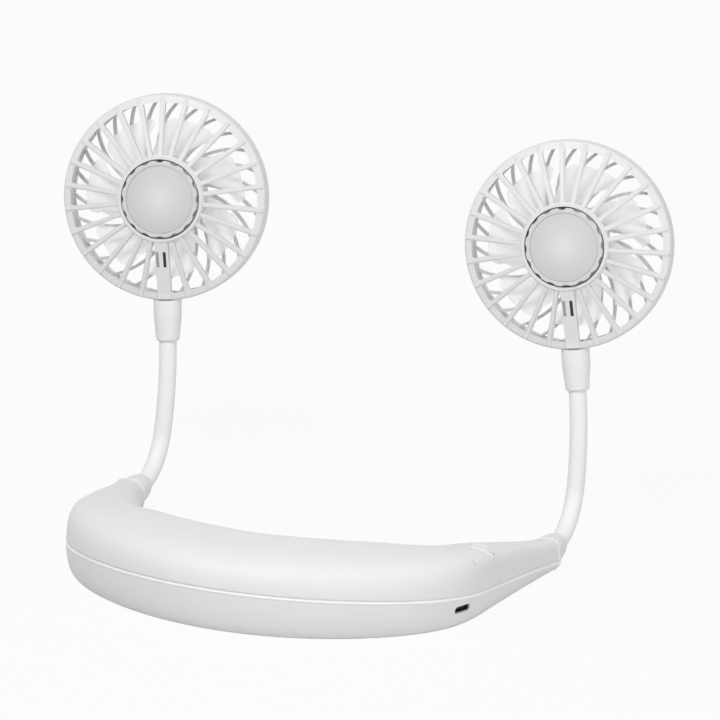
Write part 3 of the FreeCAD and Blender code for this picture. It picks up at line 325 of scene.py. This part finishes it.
# Outer edge from tip to tip. Each half is an arc from the middle of the front, a tighter arc, and a straight
# that flares with the cube of its share.
def housingEdge():
    turn = np.radians(np.linspace(0, seam["frontTurn"], seam["steps"]))
    front = np.stack([np.sin(turn), 1 - np.cos(turn)], 1) * seam["frontRadius"] - [0, seam["frontReach"]]
    cornerEnd = seam["frontTurn"] + seam["cornerTurn"]
    bend = np.radians(np.linspace(seam["frontTurn"], cornerEnd, seam["steps"]))
    aside = np.stack([np.sin(bend), -np.cos(bend)], 1)
    corner = front[-1] + (aside - aside[0]) * seam["cornerRadius"]
    share = np.linspace(0, 1, seam["steps"])[:, None]
    way = np.array([np.cos(bend[-1]), np.sin(bend[-1])])
    arm = corner[-1] + way * share * seam["armLength"] + aside[-1] * share ** 3 * seam["flare"]
    half = np.concatenate([front[:-1], corner[:-1], arm])
    return np.concatenate([half[:0:-1] * [-1, 1], half])


def carried(path, outward, profile):  # a profile, out and up, set square to each path point
    return path[:, None] + outward[:, None] * profile[None, :, :1] + upright * profile[None, :, 1:]


edge = housingEdge()
along = unit(np.gradient(edge, axis=0))
outward = np.stack([along[:, 1], -along[:, 0], np.zeros(len(edge))], 1)
slope = math.tan(math.radians(seam["tilt"]))
seamHeight = seam["tipHeight"] + (edge[-1, 1] - edge[:, 1]) * slope - seam["under"]
seamPath = np.column_stack([edge, seamHeight]) * mm
# The face swells at once under the seam and then draws in to the wall: the sine of the root of its share,
# less the square of the share. Behind it are the root in the wall and the lip in the groove.
share = np.linspace(0, 1, seam["roundness"])
swell = seam["bulge"] * np.sin(np.pi * np.sqrt(share)) - seam["drawIn"] * share ** 2
faceProfile = np.stack([swell, -seam["height"] * share], 1)
backProfile = [[-seam["root"], -seam["height"]], [-seam["root"], seam["lip"]],
               [-seam["lipDepth"], seam["lip"]]]
bevelProfile = np.concatenate([faceProfile, backProfile])[::-1] * mm
# the bevel, the collar beads and the button bezel take a paler copy of the housing's ABS, a painted highlight
piece = gridPiece("seamBevel", withEnds(carried(seamPath, outward, bevelProfile)), "seamAbsPaintedHighlight")
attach(piece, "base")

collarBead = {"length": 14.0 * mm, "reach": 30 * mm, "tube": 0.34 * mm, "sink": 0.12 * mm,
              "steps": 120, "columns": 12}
for side in sides:  # a thin round bead laid on the shells, in the plane square to the collar's axis
    base = np.array(neck[side]["mouth"]) * mm - collarWay[side] * collarBead["length"]
    aside = unit(np.cross(collarWay[side], upright))
    over = np.cross(aside, collarWay[side])
    turn = np.linspace(0, 2 * np.pi, collarBead["steps"])[:, None]
    spokes = aside * np.cos(turn) + over * np.sin(turn)
    reach = []
    for spoke in spokes:  # how far out the shells lie along each spoke
        begin = Vector(base + spoke * collarBead["reach"])
        hits = [nodes[shell].ray_cast(begin, Vector(-spoke), distance=collarBead["reach"])
                for shell in ("top_shell", "bottom_shell", side + "_collar")]
        reach.append(max((Vector(base) - hit[1]).length for hit in hits if hit[0]))
    path = base + spokes * (np.array(reach)[:, None] - collarBead["sink"])
    behind = np.broadcast_to(-collarWay[side], spokes.shape)
    points = ringsAlong(path, spokes, behind, collarBead["tube"], collarBead["columns"])
    piece = gridPiece(side + "CollarBead", points, "seamAbsPaintedHighlight")
    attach(piece, "base")

buttonBezel = {"straight": 4.2 * mm, "radius": 3.85 * mm, "turn": -6.0, "tube": 0.3 * mm, "sink": 0.08 * mm,
               "clear": 0.25 * mm, "above": 40 * mm, "steps": 140, "columns": 12}


# Round the button: half circle, straight, half circle and straight, evenly stepped by length and then turned
def buttonOutline(radius):
    turn = np.linspace(-np.pi / 2, np.pi / 2, buttonBezel["steps"])
    cap = np.stack([np.cos(turn), np.sin(turn)], 1) * radius + [buttonBezel["straight"] / 2, 0]
    loop = np.concatenate([cap, -cap, cap[:1]])
    length = np.concatenate([[0], np.cumsum(np.linalg.norm(np.diff(loop, axis=0), axis=1))])
    stops = np.linspace(0, length[-1], buttonBezel["steps"], endpoint=False)
    even = np.stack([np.interp(stops, length, loop[:, 0]), np.interp(stops, length, loop[:, 1])], 1)
    turned = math.radians(buttonBezel["turn"])
    cosine, sine = math.cos(turned), math.sin(turned)
    return even @ np.array([[cosine, sine], [-sine, cosine]])


def shellHeight(outline):  # how high the top shell lies under each point of an outline
    begins = np.column_stack([outline, np.full(len(outline), buttonBezel["above"])])
    hits = [nodes["top_shell"].ray_cast(Vector(begin), Vector(-upright)) for begin in begins]
    return np.array([hit[1].z for hit in hits])


low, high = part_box("power_button")
buttonMiddle = (np.array(low) + np.array(high))[:2] / 2
clear = buttonBezel["clear"]
ring = buttonOutline(buttonBezel["radius"]) + buttonMiddle
near = shellHeight(buttonOutline(buttonBezel["radius"] + clear) + buttonMiddle)
far = shellHeight(buttonOutline(buttonBezel["radius"] + 2 * clear) + buttonMiddle)
ringHeight = 2 * near - far  # the shell's slope carried on to the ring, over the hole's edge
path = np.column_stack([ring, ringHeight - buttonBezel["sink"]])
way = unit(np.roll(path, -1, axis=0) - np.roll(path, 1, axis=0))
aside = unit(np.cross(way, upright))
points = ringsAlong(path, aside, np.cross(aside, way), buttonBezel["tube"], buttonBezel["columns"])
piece = gridPiece("buttonBezel", np.concatenate([points, points[:1]]), "seamAbsPaintedHighlight")
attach(piece, "base")
print("seam bevel, collar beads and button bezel set")


# Two marks on each broad spoke and the catch on each cap

def headFrame(side):  # hub centre, then across, up and front on the grille
    spin = joints[side + "_impeller_spin"]
    centre = np.array(spin["pos_m"])
    front = unit(np.array(spin["axis"]))
    stem = np.array(neck[side]["socket"]) * mm - centre
    up = -unit(stem - front * stem.dot(front))
    return centre, np.cross(up, front), up, front


bar = {"columns": 24, "shares": (0, 0, 0.02, 0.5, 0.98, 1, 1), "fullness": (0, 0.9, 1, 1, 1, 0.9, 0)}


# A squared ring, width across and thickness along face, carried from start to end and drawn in at both ends
def barPiece(name, start, end, face, look):
    across = np.cross(face, unit(end - start))
    turn = np.linspace(0, 2 * np.pi, bar["columns"], endpoint=False)
    circle = np.array([np.cos(turn), np.sin(turn)])
    flat = np.sign(circle) * np.abs(circle) ** look["squareness"]
    ring = across * (flat[0][:, None] * look["width"] / 2) + face * (flat[1][:, None] * look["thickness"] / 2)
    share = np.array(bar["shares"])[:, None, None]
    fullness = np.array(bar["fullness"])[:, None, None]
    return gridPiece(name, start + (end - start) * share + ring * fullness, look["material"])


spokeMarks = {
    "squareness": 0.35, "width": 1.25 * mm, "thickness": 0.24 * mm, "length": 6.6 * mm, "fromHub": 26.0 * mm,
    "reach": 40 * mm,
    "Grey": {"across": -1.9 * mm, "material": "greyAbs", "slot": "cap_grey"},
    "Dark": {"across": 1.2 * mm, "material": "blackAbs", "slot": "black_plastic"},
}
catch = {"squareness": 0.4, "width": 0.9 * mm, "thickness": 0.3 * mm, "material": "blackAbs",
         "first": -0.5 * mm, "last": 1.3 * mm, "fromHub": 16.3 * mm, "front": 11.08 * mm}
for side in sides:
    centre, across, up, front = headFrame(side)
    grille = nodes[side + "_front_grille"]
    for name in ("Grey", "Dark"):
        mark = {**spokeMarks, **spokeMarks[name]}
        ends = []
        for share in (-0.5, 0.5):  # both ends rest on the broad spoke
            down = mark["fromHub"] + share * mark["length"]
            above = centre + across * mark["across"] - up * down + front * mark["reach"]
            ends.append(np.array(grille.ray_cast(Vector(above), Vector(-front))[1]))
        face = unit(np.cross(ends[1] - ends[0], across))
        face *= np.sign(face.dot(front))
        piece = barPiece("%sSpokeMark%s" % (side, name), ends[0], ends[1], face, mark)
        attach(piece, side + "_head")
    base = centre + up * catch["fromHub"] + front * catch["front"]
    catchEnds = [base + across * catch[end] for end in ("first", "last")]
    piece = barPiece(side + "CapCatch", *catchEnds, front, catch)
    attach(piece, side + "_cap")
print("spoke marks and cap catches set")


# Camera at the photograph's place, floor and light

shot = {"azimuth": 20.0, "elevation": 22.0, "groundTurn": 5.85, "distance": 3600 * mm, "pixel": 0.422 * mm,
        "frame": 720, "sensor": 36.0, "farClip": 100.0,
        "anchor": (0, 126.0 * mm, 3.9 * mm), "anchorPixel": (345.0, 523.9)}


def cameraTurn(degrees, axis):  # matrix that turns by so many degrees about an axis
    return Matrix.Rotation(math.radians(degrees), 3, axis)


aim = cameraTurn(shot["groundTurn"], "X") @ cameraTurn(shot["azimuth"], "Z")
aim = aim @ cameraTurn(90 - shot["elevation"], "X")  # a camera unturned looks straight down
right, up, back = aim.col[0], aim.col[1], aim.col[2]
middlePixel = shot["frame"] / 2
target = Vector(shot["anchor"]) + right * (middlePixel - shot["anchorPixel"][0]) * shot["pixel"]
target += up * (shot["anchorPixel"][1] - middlePixel) * shot["pixel"]
cameraData = bpy.data.cameras.new("camera")
cameraData.sensor_width = shot["sensor"]
cameraData.lens = shot["sensor"] * shot["distance"] / (shot["frame"] * shot["pixel"])
cameraData.clip_end = shot["farClip"]
camera = bpy.data.objects.new("camera", cameraData)
camera.matrix_world = Matrix.Translation(target + back * shot["distance"]) @ aim.to_4x4()
bpy.context.collection.objects.link(camera)
bpy.context.scene.camera = camera

studio = {"floorSize": 60.0, "floorColour": "#d4d4d4", "worldStrength": 0.54, "shadowShare": 0.07,
          "lampTarget": (0, 0.08, 0.06)}


def seenDirectly(tree):  # 1 for rays from the eye, also those mirrored or let through on the way
    ray = addNode(tree, "ShaderNodeLightPath").outputs
    mirrored = addNode(tree, "ShaderNodeMath", {"operation": "MAXIMUM"},
                       links={firstValue: ray["Is Camera Ray"], secondValue: ray["Is Glossy Ray"]})
    through = addNode(tree, "ShaderNodeMath", {"operation": "MAXIMUM"},
                      links={firstValue: mirrored.outputs[0], secondValue: ray["Is Transmission Ray"]})
    return through.outputs[0]


def paleFloor():  # matt painted board: white to the camera, with a share of its own shading for the shadow
    material = emptyMaterial("paleFloor")
    tree = material.node_tree
    plain = addNode(tree, "ShaderNodeBsdfDiffuse", values={"Color": linearColour(studio["floorColour"])})
    bright = addNode(tree, "ShaderNodeEmission", values={"Color": plainWhite, "Strength": 1.0})
    share = addNode(tree, "ShaderNodeMath", {"operation": "MULTIPLY"},
                    {secondValue: 1 - studio["shadowShare"]}, {firstValue: seenDirectly(tree)})
    mixed = addNode(tree, "ShaderNodeMixShader", links={
        "Fac": share.outputs[0], firstShader: plain.outputs[0], secondShader: bright.outputs[0]})
    addNode(tree, "ShaderNodeOutputMaterial", links={"Surface": mixed.outputs[0]})
    return material


half = studio["floorSize"] / 2
floorCorners = [(-half, -half, 0), (half, -half, 0), (half, half, 0), (-half, half, 0)]
floorMesh = bpy.data.meshes.new("floor")
floorMesh.from_pydata(floorCorners, [], [(0, 1, 2, 3)])
floorMesh.materials.append(paleFloor())
floor = bpy.data.objects.new("floor", floorMesh)
bpy.context.collection.objects.link(floor)

world = bpy.data.worlds.new("studio")
world.use_nodes = True
tree = world.node_tree
tree.nodes.clear()
soft = addNode(tree, "ShaderNodeBackground",
               values={"Color": plainWhite, "Strength": studio["worldStrength"]})
bright = addNode(tree, "ShaderNodeBackground", values={"Color": plainWhite, "Strength": 1.0})
backdrop = addNode(tree, "ShaderNodeMixShader", links={
    "Fac": seenDirectly(tree), firstShader: soft.outputs[0], secondShader: bright.outputs[0]})
addNode(tree, "ShaderNodeOutputWorld", links={"Surface": backdrop.outputs[0]})
bpy.context.scene.world = world

lamps = {
    "keyLamp": {"place": (-0.15, -0.85, 1.4), "size": 0.5, "watts": 11.2},
    "fillLamp": {"place": (1.15, -0.75, 0.5), "size": 0.8, "watts": 4.8},
}
for name, lamp in lamps.items():
    light = bpy.data.lights.new(name, "AREA")
    light.shape = "DISK"
    light.size = lamp["size"]
    light.energy = lamp["watts"]
    holder = bpy.data.objects.new(name, light)
    place = Vector(lamp["place"])
    facing = (place - Vector(studio["lampTarget"])).to_track_quat("Z", "Y").to_matrix().to_4x4()
    holder.matrix_world = Matrix.Translation(place) @ facing
    bpy.context.collection.objects.link(holder)
bpy.context.scene.view_settings.view_transform = "Standard"
print("camera, floor and lamps placed")
